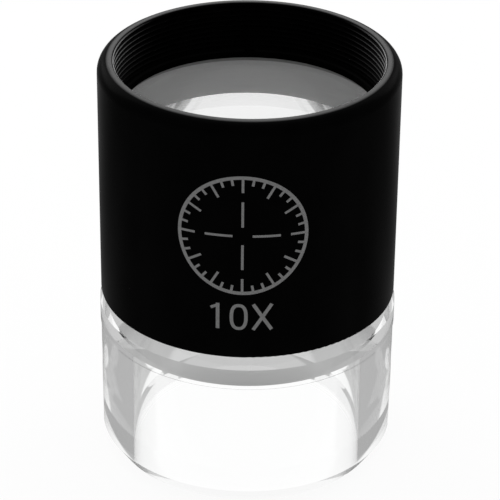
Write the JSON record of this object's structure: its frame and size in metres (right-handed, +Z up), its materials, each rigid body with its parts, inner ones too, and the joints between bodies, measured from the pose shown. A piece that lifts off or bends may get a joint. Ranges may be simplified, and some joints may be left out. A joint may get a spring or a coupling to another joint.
{
  "type": "cup loupe",
  "caption": "Cup loupe: black barrel with a glass eye lens in a threaded recess, slid up and down for focus on a clear skirt with a second lens in its neck.",
  "frame": {"origin": "centre of the clear base's foot, on the surface it stands on", "axes": "+Z up along the optical axis; the printed marks face -Y; the part is round, so X and Y are otherwise free"},
  "size_m": [0.0362, 0.0362, 0.0514],
  "materials": {
    "clear_acrylic": "clear polished",
    "lens_glass": "clear polished",
    "black_barrel": "black anodised, satin",
    "black_ring": "matte black",
    "grey_spacer": "satin",
    "black_rubber": "matte"
  },
  "bodies": {
    "base": {"clear_base": "clear_acrylic", "lower_lens": "lens_glass", "lower_retaining_ring": "black_ring"},
    "focus_ring": {"focus_o_ring": "black_rubber"},
    "barrel": {"barrel": "black_barrel", "lens_spacer": "grey_spacer", "eye_lens": "lens_glass", "eye_retaining_ring": "black_ring"}
  },
  "joints": [
    {"name": "focus_lift", "type": "slide", "parent": "base", "child": "focus_ring", "axis": [0, 0, 1], "range_m": [0, 0.003]},
    {"name": "focus_turn", "type": "hinge", "parent": "focus_ring", "child": "barrel", "pos_m": [0, 0, 0.03547], "axis": [0, 0, 1], "continuous": true}
  ]
}
